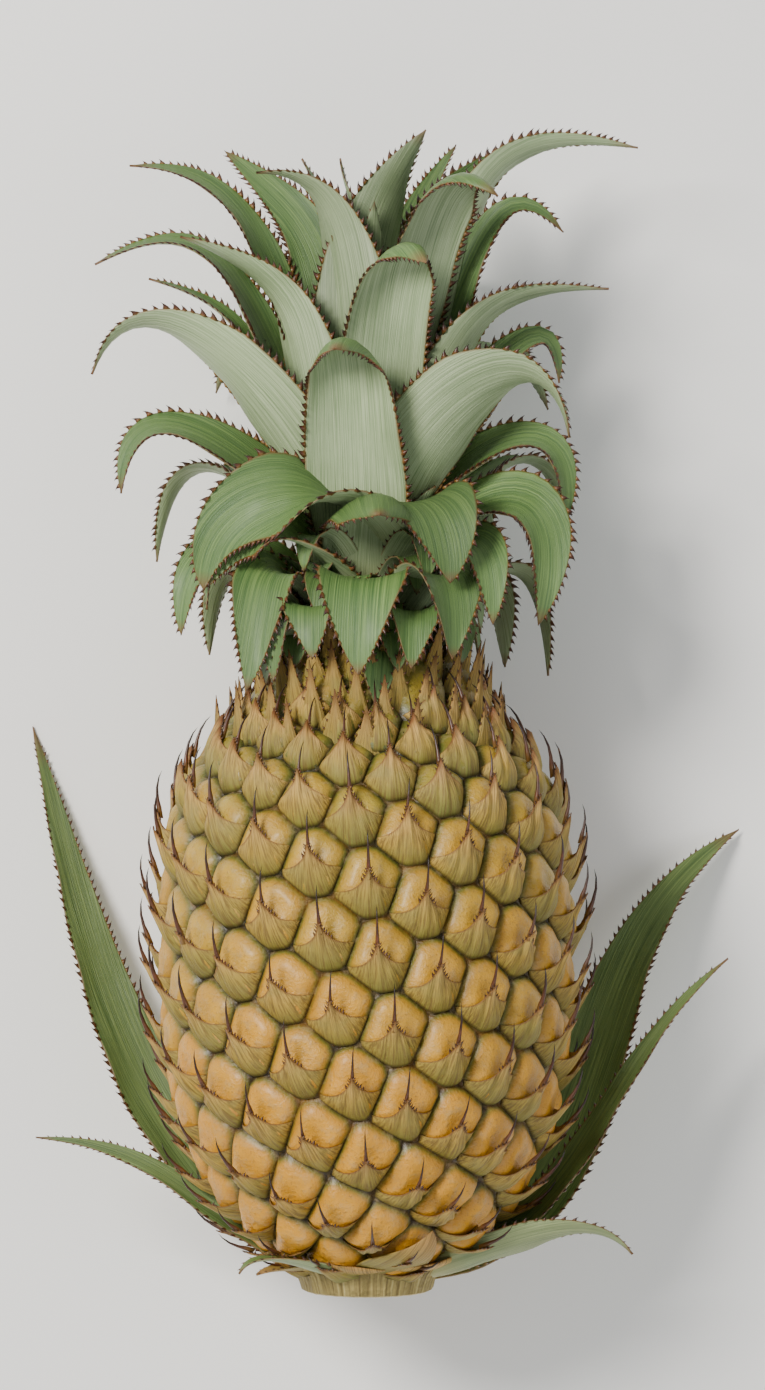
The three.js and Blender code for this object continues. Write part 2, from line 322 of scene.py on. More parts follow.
def surface(tree, inputs, height=None, strength=0.55, distance=0.0008):
    """Ends a finish: one shader with these inputs, and relief where a height is given."""
    if height is not None:
        relief = put(tree, "ShaderNodeBump", {
            "Height": height, "Strength": strength, "Distance": distance})
        inputs["Normal"] = relief.outputs["Normal"]
    skin = put(tree, "ShaderNodeBsdfPrincipled", inputs)
    put(tree, "ShaderNodeOutputMaterial", {"Surface": skin.outputs["BSDF"]})


def crown_leaf_finish(name, upper, upper_deep, under, under_deep, foot, tip):
    """Fresh waxy leaf: the upper face smooth and green, the under face silvered with scurf.
    Fibres run the leaf's length, so the light slides along close parallel lines."""
    made, tree = new_finish(name)
    fibres = grain(tree, on_strip(tree, 34, 2.2), 1.0, 5.0, 0.62)
    bands = grain(tree, on_strip(tree, 9, 0.9), 1.0, 2.0)
    clouds = grain(tree, in_place(tree), 38.0, 3.0)
    face = ramp(tree, fibres, (0.34, upper_deep), (0.66, upper))
    face = stain(tree, face, upper_deep, bands, (0.42, 0.0), (0.72, 0.55))
    back = ramp(tree, fibres, (0.32, under_deep), (0.6, under))
    back = stain(tree, back, under_deep, clouds, (0.45, 0.0), (0.7, 0.45))
    colour = mix(tree, own(tree, "under"), face, back)
    colour = stain(tree, colour, foot, own(tree, "along"), (0.0, 0.85), (0.22, 0.0))
    colour = stain(tree, colour, tip, own(tree, "along"), (0.93, 0.0), (1.0, 0.9))
    colour = stain(tree, colour, tip, own(tree, "edge"), (0.95, 0.0), (1.0, 0.7))
    tinted = put(tree, "ShaderNodeHueSaturation", {
        "Color": colour, "Value": between(tree, own(tree, "tint"), 0.8, 1.16)})
    surface(tree, {
        "Base Color": tinted.outputs["Color"], "Roughness": between(tree, fibres, 0.34, 0.62),
        "IOR": 1.45, "Coat Weight": 0.08, "Coat Roughness": 0.3}, fibres, distance=0.0007)
    return made


def rind_finish():
    """Ripe rind: hard waxy cheeks, golden at the crest, greener towards the grooves and up high,
    with painted shade darkening the grooves themselves.
    """
    made, tree = new_finish("ripe_rind")
    place = in_place(tree)
    specks = grain(tree, place, 900.0, 3.0, 0.6)
    blotch = grain(tree, place, 95.0, 4.0)
    scurf = grain(tree, place, 240.0, 5.0, 0.7)
    # crest 0 is the groove: the near-black first stops are painted shade there, the olive stops
    # the rind's own greener seams.
    cheek = ramp(tree, own(tree, "crest"),
                 (0.0, 0x33260C), (0.16, 0x6A6420), (0.42, 0xBE8620), (1.0, 0xDB9C22))
    green = ramp(tree, own(tree, "crest"),
                 (0.0, 0x2A2A0E), (0.2, 0x566024), (0.6, 0x8F8C30), (1.0, 0xC6A63C))
    colour = mix(tree, own(tree, "tint"), cheek, green)
    colour = stain(tree, colour, 0xA8741E, blotch, (0.48, 0.0), (0.75, 0.45))
    colour = stain(tree, colour, 0x6B4A1C, specks, (0.58, 0.0), (0.7, 0.45))
    colour = stain(tree, colour, 0xA8946A, scurf, (0.5, 0.0), (0.68, 0.4))
    rough = put(tree, "ShaderNodeMath", {0: specks, 1: scurf}, operation="ADD")
    surface(tree, {
        "Base Color": colour, "Roughness": between(tree, blotch, 0.32, 0.55), "IOR": 1.45,
        "Coat Weight": 0.15, "Coat Roughness": 0.25, "Subsurface Weight": 0.05,
        "Subsurface Radius": (0.004, 0.002, 0.001)}, rough.outputs["Value"])
    return made


def scale_leaf_finish():
    """Scale leaf of an eye: thin, leathery at its foot, dried to brown paper at the point."""
    made, tree = new_finish("drying_scale_leaf")
    ribs = grain(tree, on_strip(tree, 22, 1.5), 1.0, 4.0, 0.6)
    blotch = grain(tree, in_place(tree), 120.0, 3.0)
    fresh = ramp(tree, own(tree, "along"), (0.0, 0x7E7A2E), (0.3, 0xB4923A), (0.55, 0xC9A152),
                 (0.75, 0x96642F), (1.0, 0x4E2816))
    dry = ramp(tree, own(tree, "along"), (0.0, 0x6C7030), (0.35, 0x9C8A3C), (0.6, 0xB58B4C),
               (0.78, 0x7E4C28), (1.0, 0x45200F))
    colour = mix(tree, own(tree, "tint"), fresh, dry)
    colour = stain(tree, colour, 0x6A5226, ribs, (0.4, 0.75), (0.56, 0.0))
    colour = stain(tree, colour, 0x8E8444, blotch, (0.5, 0.0), (0.72, 0.5))
    colour = stain(tree, colour, 0x6A3A1C, own(tree, "edge"), (0.86, 0.0), (1.0, 0.75))
    # Painted shade: the leaf turns near black where crest is low, where its foot meets the groove.
    colour = stain(tree, colour, 0x3A2C10, own(tree, "crest"), (0.0, 0.85), (0.3, 0.0))
    surface(tree, {"Base Color": colour, "Roughness": 0.58, "IOR": 1.45}, ribs, 0.7)
    return made


def prickle_finish():
    """Horny prickle: hard, red-brown and darkest at its point, with a low shine."""
    made, tree = new_finish("horny_prickle")
    mottle = grain(tree, in_place(tree), 260.0, 2.0)
    colour = ramp(tree, own(tree, "along"),
                  (0.0, 0x80602F), (0.3, 0x54301A), (0.7, 0x2E140C), (1.0, 0x160806))
    colour = stain(tree, colour, 0x8A4C2A, mottle, (0.55, 0.0), (0.75, 0.3))
    surface(tree, {"Base Color": colour, "Roughness": 0.38, "IOR": 1.5})
    return made


def stalk_finish():
    """Fresh-cut fibrous stalk: pale moist pith dotted with brown fibre ends, ribbed tan skin."""
    made, tree = new_finish("cut_fibrous_stalk")
    ends = put(tree, "ShaderNodeTexVoronoi", {
        "Vector": in_place(tree), "Scale": 620.0}).outputs["Distance"]
    ribs = grain(tree, on_strip(tree, 70, 2), 1.0, 4.0)
    pith = ramp(tree, ends, (0.0, 0x8A6A3C), (0.22, 0xC9AE72), (0.6, 0xE2CF98))
    bark = ramp(tree, ribs, (0.35, 0x6A5A30), (0.6, 0xA79558), (0.75, 0xC4B57C))
    colour = mix(tree, own(tree, "face"), bark, pith)
    both = put(tree, "ShaderNodeMath", {0: ends, 1: ribs}, operation="ADD")
    surface(tree, {"Base Color": colour, "Roughness": 0.66, "IOR": 1.4},
            both.outputs["Value"], 0.6)
    return made


CROWN_LEAF = crown_leaf_finish(
    "waxy_crown_leaf", 0x748F4E, 0x3A5A2C, 0xA6B58C, 0x667C50, 0xAEB47C, 0x6E4426)
STALK_LEAF = crown_leaf_finish(
    "waxy_stalk_leaf", 0x7D9150, 0x40592A, 0xA3AE78, 0x66784A, 0xB9B272, 0x74482A)
RIND = rind_finish()
SCALE_LEAF = scale_leaf_finish()
PRICKLE = prickle_finish()
STALK = stalk_finish()

# ---------------- leaves
# Azimuths, leans and rolls are in degrees, heights over the cut, reach and width in mm. fold is
# how far each edge turns up, and a pull is how long an end of the midrib keeps its lean.
Leaf = namedtuple("Leaf", "name foot_az tip_az foot_y reach tip_y foot_lean tip_lean "
                          "width fold foot_roll tip_roll foot_pull tip_pull")
CROWN = [Leaf(*row) for row in (
    ["leaf_hood_lower", -8, -10, 230, 58, 302, 22, 116, 33, 40, 0, 0, 0.62, 0.5],
    ["leaf_hood_upper", 7, 22, 244, 50, 330, 12, 132, 29, 40, 0, 4, 0.62, 0.45],
    ["leaf_front_low", 0, -3, 214, 50, 200, 40, 176, 30, 40, 0, 0, 0.9, 0.9],
    ["leaf_front_low_left", -32, -22, 206, 46, 205, 50, 178, 24, 40, 0, 0, 0.9, 0.8],
    ["leaf_front_low_right", 28, 18, 206, 46, 202, 50, 178, 22, 40, 0, 0, 0.9, 0.8],
    ["leaf_left_low_small", -50, -40, 203, 46, 198, 50, 178, 18, 40, 0, 0, 0.9, 0.9],
    ["leaf_left_low_long", -58, -46, 216, 53, 195, 45, 168, 22, 45, -10, -50, 0.8, 1.1],
    ["leaf_left_hanging", -85, -80, 226, 61, 213, 50, 180, 18, 40, -20, -60, 0.6, 0.8],
    ["leaf_left_short", -70, -64, 212, 57, 221, 50, 178, 13, 40, 0, 0, 0.7, 0.9],
    ["leaf_left_bow_low", -30, -62, 226, 58, 228, 45, 165, 29, 40, -30, -60, 0.7, 0.7],
    ["leaf_left_bow", 12, -62, 236, 59, 227, 51, 182, 31, 40, -30, -50, 0.74, 0.72],
    ["leaf_front_bow", 4, 4, 226, 60, 250, 24, 122, 33, 42, 0, 0, 0.68, 0.5],
    ["leaf_right_bow", 22, 32, 238, 50, 229, 30, 182, 33, 40, 0, 20, 0.75, 0.8],
    ["leaf_right_low_broad", 42, 33, 214, 50, 205, 40, 180, 28, 45, 0, 0, 0.9, 0.9],
    ["leaf_right_low", 62, 48, 224, 54, 216, 40, 182, 20, 45, 20, 40, 0.7, 0.9],
    ["leaf_right_hanging", 78, 72, 232, 58, 216, 35, 196, 24, 45, 20, 60, 0.9, 1.1],
    ["leaf_right_arched", 88, 82, 244, 64, 247, 32, 190, 22, 45, 20, 50, 0.8, 0.9],
    ["leaf_right_broad", 25, 68, 248, 70, 276, 36, 170, 32, 45, -30, -20, 0.7, 0.6],
    ["leaf_right_curled", 98, 100, 262, 64, 296, 40, 178, 20, 45, 30, 60, 0.6, 0.6],
    ["leaf_right_long", 60, 82, 256, 79, 325, 28, 92, 24, 45, -30, -10, 0.6, 0.5],
    ["leaf_right_hooked", 95, 85, 266, 64, 343.8, 20, 140, 20, 45, 60, 60, 0.7, 0.4],
    ["leaf_top_right_long", 80, 95, 270, 89, 372.8, 20, 100, 22, 45, -60, -30, 0.6, 0.5],
    ["leaf_top_right_back", 115, 112, 285, 63, 378.3, 14, 62, 24, 40, 60, 60, 0.6, 0.5],
    ["leaf_top_right_hood", 42, 48, 268, 56, 352, 9, 138, 27, 45, -10, -4, 0.65, 0.4],
    ["leaf_top_right_slim", 152, 140, 292, 46, 377, 10, 45, 17, 50, 20, 20, 0.42, 0.42],
    ["leaf_top_broad", 12, 60, 284, 22, 376.4, 6, 40, 37, 45, 0, -20, 0.5, 0.5],
    ["leaf_top_left_broad", -20, -66, 266, 39, 362, 10, 95, 38, 40, 6, 0, 0.6, 0.35],
    ["leaf_top_left_back", -130, -125, 282, 58, 374.8, 12, 55, 24, 40, -40, -60, 0.6, 0.5],
    ["leaf_top_mid_back", -170, -112, 306, 23, 369.3, 6, 30, 13, 40, 0, 0, 0.42, 0.42],
    ["leaf_top_small", 110, -130, 312, 11.5, 369.3, 4, 12, 10, 40, 0, 0, 0.42, 0.42],
    ["leaf_left_top_long", -95, -95, 268, 78, 366.8, 24, 90, 22, 45, -20, -40, 0.5, 0.4],
    ["leaf_left_upper_long", -98, -93, 260, 89, 334.3, 30, 118, 22, 45, -20, -30, 0.6, 0.5],
    ["leaf_left_upper_broad", -48, -76, 248, 62, 341.5, 26, 72, 34, 45, 12, 10, 0.6, 0.5],
    ["leaf_left_slim", -90, -88, 252, 71, 329, 28, 75, 15, 50, -20, -30, 0.6, 0.4],
    ["leaf_left_broad", -50, -80, 248, 90, 297, 32, 160, 28, 45, 30, 10, 0.6, 0.45],
    ["leaf_left_arched", -88, -85, 242, 80, 259, 42, 178, 26, 45, -30, -40, 0.6, 0.6],
    ["leaf_back_low_a", 100, 106, 212, 62, 200, 45, 176, 22, 42, 0, 0, 0.9, 0.9],
    ["leaf_back_low_b", 128, 130, 209, 60, 203, 45, 176, 22, 42, 0, 0, 0.9, 0.9],
    ["leaf_back_low_c", 155, 150, 213, 60, 198, 45, 176, 24, 42, 0, 0, 0.9, 0.9],
    ["leaf_back_low_d", 182, 180, 209, 60, 206, 45, 176, 22, 42, 0, 0, 0.9, 0.9],
    ["leaf_back_low_e", 208, 212, 212, 62, 201, 45, 176, 24, 42, 0, 0, 0.9, 0.9],
    ["leaf_back_low_f", 236, 238, 209, 62, 207, 45, 176, 22, 42, 0, 0, 0.9, 0.9],
    ["leaf_back_mid_a", 118, 115, 228, 74, 245, 35, 170, 24, 45, 0, 0, 0.7, 0.8],
    ["leaf_back_mid_b", 148, 146, 232, 72, 238, 35, 174, 26, 45, 0, 0, 0.7, 0.8],
    ["leaf_back_mid_c", 178, 180, 227, 67, 244, 35, 174, 26, 45, 0, 0, 0.7, 0.8],
    ["leaf_back_mid_d", 212, 214, 234, 74, 250, 35, 172, 26, 45, 0, 0, 0.7, 0.8],
    ["leaf_back_mid_e", 242, 244, 229, 78, 238, 35, 174, 24, 45, 0, 0, 0.7, 0.8],
    ["leaf_back_high_a", 135, 132, 252, 82, 290, 28, 150, 26, 45, 0, 0, 0.7, 0.6],
    ["leaf_back_high_b", 172, 172, 256, 68, 304, 25, 150, 26, 45, 0, 0, 0.7, 0.6],
    ["leaf_back_high_c", 218, 220, 254, 80, 296, 28, 150, 26, 45, 0, 0, 0.7, 0.6],
    ["leaf_back_top_a", 155, 152, 270, 66, 338, 20, 110, 24, 45, 0, 0, 0.6, 0.5],
    ["leaf_back_top_b", 198, 202, 274, 62, 346, 18, 105, 24, 45, 0, 0, 0.6, 0.5],
)]
STALK_LEAVES = [Leaf(*row) for row in (
    ["base_leaf_left_big", -116, -121, 7, 133, 183, 62, 18, 24, 30, -40, -30, 0.38, 0.4],
    ["base_leaf_left_small", -84, -99, 7, 110.5, 48, 60, 88, 10, 34, -55, -45, 0.45, 0.42],
    ["base_leaf_right_big", 112, 118, 7, 143, 148, 76, 62, 30, 30, 45, 35, 0.42, 0.45],
    ["base_leaf_right_slim", 88, 98, 7, 120, 107, 76, 52, 15, 35, 30, 30, 0.4, 0.4],
    ["base_leaf_right_low", 62, 80, 7, 87, 13.4, 74, 140, 14, 35, -50, -30, 0.5, 0.32],
)]
EXTRA_STALK_LEAVES = [Leaf(
    "left_bottom_recurved", -25, -50, 7, 53, 9.4, 82, 150, 12, 35, 0, 0, 0.5, 0.32)]
CROWN_FOOT, CORE_TOP = 194, 300        # heights of the stump that the crown's leaves grow on
MIDRIB_STEPS = 160                     # short runs that a midrib's length is measured by
CLASP = 22                             # how much more a leaf's foot folds round the stump
FLATTEN = 0.35                         # share of its fold that a leaf loses by its point
FOLD_BACK = -78                        # the furthest that a hood's edges turn down
LEAST_BEND = 0.02                      # radians, so that a flat leaf is still an arc
BLADE_THICK = (1.5, 0.7)               # at a leaf's foot and at its point
PRICKLY = (0.13, 0.975)                # the stretch of a leaf's edge that has prickles
# how fast the edges of a hooded leaf turn down along it
HOODED = {"leaf_hood_lower": 4.0, "leaf_hood_upper": 3.2, "leaf_front_bow": 4.0,
          "leaf_top_right_hood": 2.8}
BOWED = ("leaf_right_bow", "leaf_left_bow", "leaf_left_bow_low", "leaf_right_broad",
         "leaf_left_broad")
# places across a leaf from edge to edge, closer where it turns
ACROSS = [-1, -0.94, -0.8, -0.58, -0.32, -0.08, 0.08, 0.32, 0.58, 0.8, 0.94, 1]
Section = namedtuple("Section", "along run at across inner half bend")


def core_radius(y):
    return blend(17, 6, clamp01((y - CROWN_FOOT) / (CORE_TOP - CROWN_FOOT)))


def share(s, widest):
    """Width along a leaf: it keeps its width as far as `widest`, then runs to a point."""
    foot = 0.72
    rise = foot + (1 - foot) * math.sin(min(s / 0.35, 1) * math.pi / 2)
    return rise * max(0.0, 1 - max(s - widest, 0) / (1 - widest)) ** 0.82


def widest_at(name):
    if name in HOODED:
        return 0.74
    if name in BOWED:
        return 0.56
    if name.startswith("foot_bract"):
        return 0.7
    return 0.52 if "_low" in name or "hanging" in name else 0.38


def leaf_sections(leaf, count, start=None):
    """Cross-sections evenly spaced along a leaf's midrib, which starts this far off the axis."""
    a = outward(leaf.foot_az) * (core_radius(leaf.foot_y) if start is None else start)
    a += UP * leaf.foot_y
    d = outward(leaf.tip_az) * leaf.reach + UP * leaf.tip_y
    far = (d - a).length
    b = a + leaning(leaf.foot_az, leaf.foot_lean) * far * leaf.foot_pull
    c = d - leaning(leaf.tip_az, leaf.tip_lean) * far * leaf.tip_pull
    fine = []
    for i in range(MIDRIB_STEPS + 1):
        u = i / MIDRIB_STEPS
        fine.append(a * (1 - u) ** 3 + b * 3 * (1 - u) ** 2 * u + c * 3 * (1 - u) * u * u
                    + d * u ** 3)
    run = [0.0]
    for p, q in zip(fine, fine[1:]):
        run.append(run[-1] + (q - p).length)
    down = HOODED.get(leaf.name, FLATTEN)
    sections, j = [], 0
    for i in range(count):
        s = i / (count - 1)
        while j < MIDRIB_STEPS - 1 and run[j + 1] < s * run[-1]:
            j += 1
        t = (s * run[-1] - run[j]) / max(run[j + 1] - run[j], 1e-9)
        u = (j + t) / MIDRIB_STEPS
        tangent = (b - a) * (1 - u) ** 2 + (c - b) * 2 * (1 - u) * u + (d - c) * u * u
        tangent.normalize()
        az = math.radians(leaf.foot_az + (leaf.tip_az - leaf.foot_az) * s)
        side = squared(Vector((math.cos(az), 0, -math.sin(az))), tangent)
        inner = tangent.cross(side)
        roll = math.radians(leaf.foot_roll + (leaf.tip_roll - leaf.foot_roll) * s)
        bend = math.radians(max(leaf.fold * (1 - down * s), FOLD_BACK)
                            + CLASP * max(0, 1 - s / 0.2))
        sections.append(Section(
            s, s * run[-1], fine[j].lerp(fine[j + 1], clamp01(t)),
            side * math.cos(roll) + inner * math.sin(roll),
            inner * math.cos(roll) - side * math.sin(roll),
            leaf.width * share(s, widest_at(leaf.name)) / 2,
            LEAST_BEND if abs(bend) < LEAST_BEND else bend))
    return sections


def across_leaf(section, t, ripple=0.0):
    """A place across a section (t from -1 to 1), and the upper face's direction there."""
    turn = section.bend * t
    radius = section.half / section.bend
    normal = section.inner * math.cos(turn) - section.across * math.sin(turn)
    place = (section.at + section.across * radius * math.sin(turn)
             + section.inner * radius * (1 - math.cos(turn)) + normal * ripple)
    return place, normal


def leaf_blade(leaves, name, material, start=None, count=30, dry=1.0):
    """Every leaf of a group in one mesh: closed channelled blades, thickest at the midrib."""
    verts, faces, uv, values = [], [], [], {}
    edge_most = 0.9 if dry < 1 else 1
    for index, leaf in enumerate(leaves):
        tint = random.Random(leaf.name).random()
        first = len(verts)
        for section in leaf_sections(leaf, count, start):
            s, run, half = section.along, section.run, section.half
            for under in (1, 0):
                for t in (ACROSS if under else ACROSS[::-1]):
                    wave = 0.5 * math.sin(run * 0.19 + index * 2.1 + t * 2) * t * t
                    mid, normal = across_leaf(section, t, wave * min(1, half / 6))
                    thick = blend(*BLADE_THICK, s) * (1 - 0.72 * t * t) + 0.12
                    verts.append(row_place(mid + normal * (-thick / 2 if under else thick / 2)))
                    uv.append((t * half / 12 + index * 1.7, run / 100 + index * 3.1))
                    note(values, under=float(under), along=s * dry, edge=abs(t) * edge_most,
                         tint=tint, crest=1.0)
        n = 2 * len(ACROSS)
        last = first + (count - 1) * n
        faces += hoop_faces(n, count - 1, first)
        for j in range(len(ACROSS) - 1):
            k = n - 2 - j
            faces.append((first + j + 1, first + j, first + n - 1 - j, first + k))
            faces.append((last + j, last + j + 1, last + k, last + n - 1 - j))
    return new_piece(name, new_mesh(name, verts, faces, values, uv), material)


def prickle_shape():
    """One hooked prickle, 1 mm long: grows along +Y and hooks towards +X."""
    verts, along = [], []
    for x, y, wide, deep in ((0.0, 0.0, 0.55, 0.24), (0.10, 0.34, 0.36, 0.17),
                             (0.34, 0.68, 0.17, 0.1)):
        for dx, dz in ((-wide, 0), (0, -deep), (wide, 0), (0, deep)):
            verts.append(Vector((x + dx, y, dz)) * MM)
            along.append(y)
    verts.append(Vector((0.78, 1.0, 0)) * MM)
    along.append(1.0)
    return new_mesh("prickle", verts, spike_faces(4, 3), {"along": along})


def edge_prickles(leaves, name, start=None, pitch=3.0, length=2.7):
    """Prickles along both edges of every leaf of a group, hooked towards the leaf's point."""
    count = 60
    seats = []
    for leaf in leaves:
        dice = random.Random(leaf.name + "edge")
        sections = leaf_sections(leaf, count, start)
        whole = sections[-1].run
        size = length * min(1.0, 0.55 + leaf.width / 50)
        for t in (-1, 1):
            at = whole * PRICKLY[0] + dice.uniform(0, pitch)
            while at < whole * PRICKLY[1]:
                f = at / whole * (count - 1)
                i = min(int(f), count - 2)
                near = sections[i]
                low, high = across_leaf(near, t)[0], across_leaf(sections[i + 1], t)[0]
                run = (high - low).normalized()
                here = low.lerp(high, f - i)
                out = near.across * math.cos(near.bend) * t + near.inner * math.sin(near.bend)
                out = squared(out, run)
                grow = size * dice.uniform(0.75, 1.15) * (1 - 0.45 * (at / whole) ** 3)
                seats.append((here - out * 0.2, axes(run, out, run.cross(out)),
                              (grow, grow, grow), dice.random()))
                at += pitch * dice.uniform(0.8, 1.2) * (1 - 0.25 * at / whole)
    return scatter(name, seats, prickle_shape(), PRICKLE, (0.95, 1.05), 11)


# ---------------- the fruit
FRUIT_BASE = 9              # height of the fruit's foot over the cut
FRUIT_TALL = 197
# the outline at the grooves: height over the fruit's foot, radius
OUTLINE = [
    (0, 19), (3, 26), (8, 33.5), (14, 40), (22, 46), (34, 53), (46, 58), (58, 61.3), (72, 63.2),
    (88, 64), (104, 64.2), (118, 64), (132, 63.2), (146, 61), (158, 56), (168, 48), (178, 38.5),
    (188, 32), (FRUIT_TALL, 28),
]
RIM_STEP = 0.5              # the outline is kept at heights this far apart
EYE_TURN = 100.65           # turn from one eye to the next round the spiral, degrees
EYE_AREA = 372.0            # skin that one full-sized eye takes, square mm
EYE_START = (103.4, 4.25)   # height and azimuth of the eye that the spiral is wound from
EYE_LOWEST, EYE_HIGHEST = 1.5, 181
EYE_NEAR = 46               # an eye further off than this doesn't press on this one
CORNER = 14                 # the higher, the sharper an eye's corners
SHOULDER = 128              # height where the eyes begin to shrink
CHEEK = 4.3                 # how far a cheek swells past the groove
APEX = 4.0                  # where a scale leaf's edge meets its spine, over the eye's middle


def rim(h):
    """Groove radius and slope at a height over the fruit's foot, evened over a short run."""
    evened = (-6, -3, 0, 3, 6)
    radius = slope = 0.0
    for d in evened:
        at = min(max(h + d, 0.0), FRUIT_TALL - 0.1)
        for (a, ra), (b, rb) in zip(OUTLINE, OUTLINE[1:]):
            if at <= b:
                radius += (ra + (rb - ra) * (at - a) / (b - a)) / len(evened)
                slope += (rb - ra) / (b - a) / len(evened)
                break
    return radius, slope


RIM = [rim(i * RIM_STEP) for i in range(int(FRUIT_TALL / RIM_STEP))]


def rim_at(h):
    return RIM[int(min(max(h, 0.0), FRUIT_TALL - 1) / RIM_STEP + 0.5)]


def skin_at(p):
    """The skin point level with p, and the way straight out of the skin there."""
    h = min(max(p.y - FRUIT_BASE, 0.0), FRUIT_TALL)
    r, slope = rim_at(h)
    out = Vector((p.x, 0, p.z))
    out = out.normalized() if out.length > 0.01 else Vector((0, 0, 1))
    return out * r + UP * (h + FRUIT_BASE), (out - UP * slope).normalized()


def eye_size(h):
    """An eye beside a full one: a little smaller at the foot, much smaller under the crown."""
    return (0.80 + 0.2 * clamp01(h / 30)) * (1 - 0.42 * clamp01((h - SHOULDER) / 60) ** 1.2)


Seat = namedtuple("Seat", "h az size middle side run normal")


def eye_seats():
    """Eyes wound up and down the fruit on one spiral."""
    seats = []
    for way in (1, -1):
        h, az = EYE_START
        while EYE_LOWEST < h < EYE_HIGHEST:
            r, slope = rim_at(h)
            step = way * EYE_AREA * eye_size(h) ** 2 / (2 * math.pi * r)
            if way > 0 or h != EYE_START[0]:
                out = outward(az)
                run = (UP + out * slope).normalized()
                normal = (out - UP * slope).normalized()
                seats.append(Seat(h, az, eye_size(h), out * r + UP * (FRUIT_BASE + h),
                                  run.cross(normal), run, normal))
            h += step / math.sqrt(1 + slope * slope)
            az += way * EYE_TURN
    return seats


class Eye:
    """One eye's cell: the skin nearer to it than to any other, as the eyes press together."""

    def __init__(self, seat, seats):
        self.h, self.az, self.size, self.middle, self.side, self.run, self.normal = seat
        others = [other.middle - self.middle for other in seats]
        self.walls = [(d, 2 / d.length_squared) for d in others if 0 < d.length < EYE_NEAR]
        dice = random.Random(round(self.h * 100))
        self.ripe = dice.random()
        self.shift = Vector((dice.uniform(-2.6, 0.3), dice.uniform(-0.6, 0.8))) * self.size
        self.top = clamp01((self.h - SHOULDER) / 42)       # 1 close under the crown
        self.foot = clamp01((34 - self.h) / 30)            # 1 at the fruit's foot
        self.pressed = 0.4 + 0.6 * clamp01(self.h / 12)    # the lowest lie flat round the stalk

    def reach(self, p):
        """0 in the eye's middle and 1 at its groove, rounded at the corners."""
        total = 0.0
        for d, k in self.walls:
            f = p.dot(d) * k
            if f > 0.2:
                total += f ** CORNER
        return total ** (1 / CORNER)

    def skin(self, x, y):
        point, normal = skin_at(self.middle + self.side * x + self.run * y)
        return point, (normal + self.normal).normalized()

    def reach_at(self, x, y):
        return self.reach(self.skin(x, y)[0] - self.middle)

    def groove(self, angle):
        """How far the groove is from the eye's middle in one direction."""
        c, s = math.cos(angle), math.sin(angle)
        low, high = 2.0, 24.0
        for _ in range(9):
            k = (low + high) / 2
            if self.reach_at(c * k, s * k) < 1:
                low = k
            else:
                high = k
        return low

    def swell(self, q):
        full = CHEEK * (0.55 + 0.45 * self.size) * (1 + 0.45 * self.foot) * self.pressed
        return full * (1 - min(q, 1.0) ** (3.4 - 1.2 * self.foot)) - 9 * max(q - 1.0, 0)

    def lift(self, x, y, z):
        point, normal = self.skin(x, y)
        return point + normal * z

    def tip(self):
        """The foot of the eye's spine: across, up and out from the skin."""
        y = self.shift.y + blend(APEX, 9.5, self.top) * self.size
        stand = blend(5.1, 5.4, self.top) * self.size * self.pressed
        return self.shift.x, y, self.swell(self.reach_at(self.shift.x, y)) + stand


def eye_cheeks(eyes):
    """The swollen skin of every eye, sunk a little where the scale leaf stands over it, with
    painted shade in that hollow.
    """
    verts, faces, values = [], [], {}
    rings, spokes = (0.2, 0.4, 0.58, 0.73, 0.85, 0.93, 0.98, 1.02, 1.08), 24
    for eye in eyes:
        first = len(verts)
        angles = [2 * math.pi * j / spokes for j in range(spokes)]
        limits = [eye.groove(a) for a in angles]
        for q in (0,) + rings:
            for a, limit in list(zip(angles, limits))[:spokes if q else 1]:
                x, y = math.cos(a) * limit * q, math.sin(a) * limit * q
                dx, dy = (x - eye.shift.x - 2.2) / 4.6, (y - eye.shift.y - 1.6) / 4.4
                hollow = 1.5 * math.exp(-dx * dx - dy * dy) * (1 - eye.top) * eye.size
                rough = 0.35 * noise.noise(Vector((x * 0.22 + eye.h, y * 0.22, eye.az)))
                z = eye.swell(q) - hollow + rough * (1 - q ** 4)
                verts.append(row_place(eye.lift(x, y, z)))
                # crest is lowered in the hollow, which paints shade into it through the rind's
                # colour ramp.
                crest = (1 - q ** 3) * (1 - 0.25 * hollow) * (1 - 0.6 * eye.top ** 2)
                note(values, crest=clamp01(crest),
                     tint=clamp01((eye.h - 50) / 170 + 0.3 * (eye.ripe - 0.5)))
        faces += [(first, first + 1 + j, first + 1 + (j + 1) % spokes) for j in range(spokes)]
        faces += [(a, d, c, b) for a, b, c, d in hoop_faces(spokes, len(rings) - 1, first + 1)]
    return new_piece("fruit_eyes", new_mesh("fruit_eyes", verts, faces, values), RIND)


# places across a scale leaf from side to side, and from its foot to its free edge
SCALE_HALF = [0.07, 0.14, 0.22, 0.31, 0.42, 0.55, 0.7, 0.86, 1]
SCALE_ACROSS = [-s for s in SCALE_HALF[::-1]] + [0] + SCALE_HALF
SCALE_UP = [0, 0.1, 0.24, 0.4, 0.56, 0.72, 0.86, 0.95, 1]
# the creases beside its keel: height, place across, width
SCALE_FOLDS = ((0.85, -0.36, 0.09), (1.0, 0.3, 0.08), (0.75, 0.6, 0.1), (-1.1, 0.45, 0.1),
               (-0.7, -0.2, 0.08))
TEETH_LEFT = (0.05, 0.1, 0.16, 0.23)
TEETH_RIGHT = TEETH_LEFT + (0.31, 0.4)
TOOTH = 1.45                # how long a tooth is on a full-sized eye


